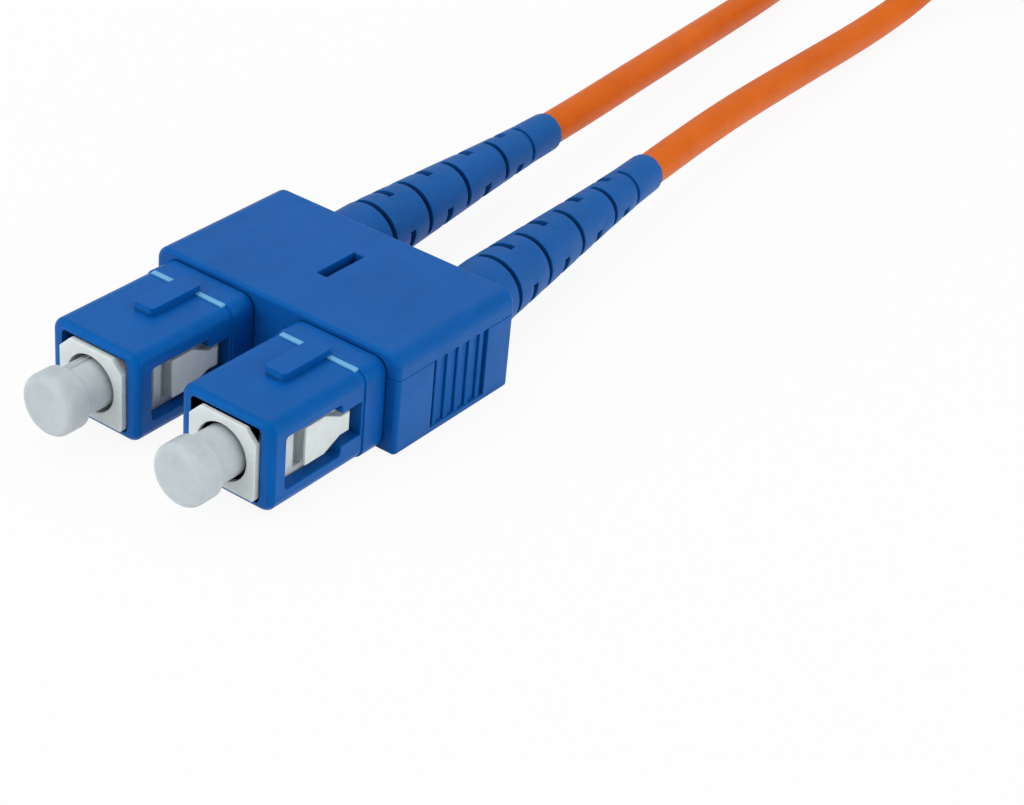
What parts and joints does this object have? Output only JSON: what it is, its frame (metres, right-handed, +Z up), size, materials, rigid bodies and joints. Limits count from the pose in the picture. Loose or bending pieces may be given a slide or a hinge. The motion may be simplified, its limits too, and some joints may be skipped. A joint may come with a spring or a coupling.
{
  "type": "sc fibre connector",
  "caption": "Duplex push-pull fibre optic plug with sliding keyed shells, a joining clip, dust caps, slotted strain-relief boots and jacketed cables.",
  "frame": {"origin": "centre of the clip's underside, on the surface that the part stands on", "axes": "+Y towards the cables, so the plugs point to -Y; +Z up to the key side; X across the pair"},
  "size_m": [0.0344, 0.204, 0.0134],
  "materials": {
    "clip_blue": "satin moulded",
    "housing_blue": "satin moulded",
    "frame_ivory": "moulded",
    "zirconia": "polished ceramic",
    "flange_metal": "turned",
    "spring_steel": "drawn wire",
    "stop_metal": "turned",
    "tube_clear": "extruded",
    "buffer_white": "extruded",
    "crimp_metal": "drawn and crimped",
    "cap_clear": "milky, soft",
    "boot_blue": "soft moulded",
    "jacket_orange": "satin extruded",
    "tie_black": "woven strap"
  },
  "bodies": {
    "plugs": {"plug_frame_a": "frame_ivory", "plug_frame_b": "frame_ivory", "spring_stop_a": "stop_metal", "spring_stop_b": "stop_metal", "guide_tube_a": "tube_clear", "guide_tube_b": "tube_clear", "crimp_sleeve_a": "crimp_metal", "crimp_sleeve_b": "crimp_metal", "boot_a": "boot_blue", "boot_b": "boot_blue", "spring_a": "spring_steel", "spring_b": "spring_steel", "cable_a": "jacket_orange", "cable_b": "jacket_orange", "hank_a": "jacket_orange", "hank_b": "jacket_orange", "hank_tie": "tie_black"},
    "grip": {"outer_housing_a": "housing_blue", "outer_housing_b": "housing_blue", "clip_upper": "clip_blue", "clip_lower": "clip_blue"},
    "float_a": {"ferrule_a": "zirconia", "ferrule_flange_a": "flange_metal", "fibre_buffer_a": "buffer_white"},
    "float_b": {"ferrule_b": "zirconia", "ferrule_flange_b": "flange_metal", "fibre_buffer_b": "buffer_white"},
    "cap_a": {"dust_cap_a": "cap_clear"},
    "cap_b": {"dust_cap_b": "cap_clear"}
  },
  "joints": [
    {"name": "grip_slide", "type": "slide", "parent": "plugs", "child": "grip", "axis": [0, 1, 0], "range_m": [-0.0006, 0.0012]},
    {"name": "ferrule_a_float", "type": "slide", "parent": "plugs", "child": "float_a", "axis": [0, 1, 0], "range_m": [0, 0.001], "stiffness_N_per_m": 1000, "deforming": ["spring_a"]},
    {"name": "ferrule_b_float", "type": "slide", "parent": "plugs", "child": "float_b", "axis": [0, 1, 0], "range_m": [0, 0.001], "stiffness_N_per_m": 1000, "deforming": ["spring_b"]},
    {"name": "cap_a_pull", "type": "slide", "parent": "plugs", "child": "cap_a", "axis": [0, -1, 0], "range_m": [0, 0.012]},
    {"name": "cap_b_pull", "type": "slide", "parent": "plugs", "child": "cap_b", "axis": [0, -1, 0], "range_m": [0, 0.012]}
  ]
}
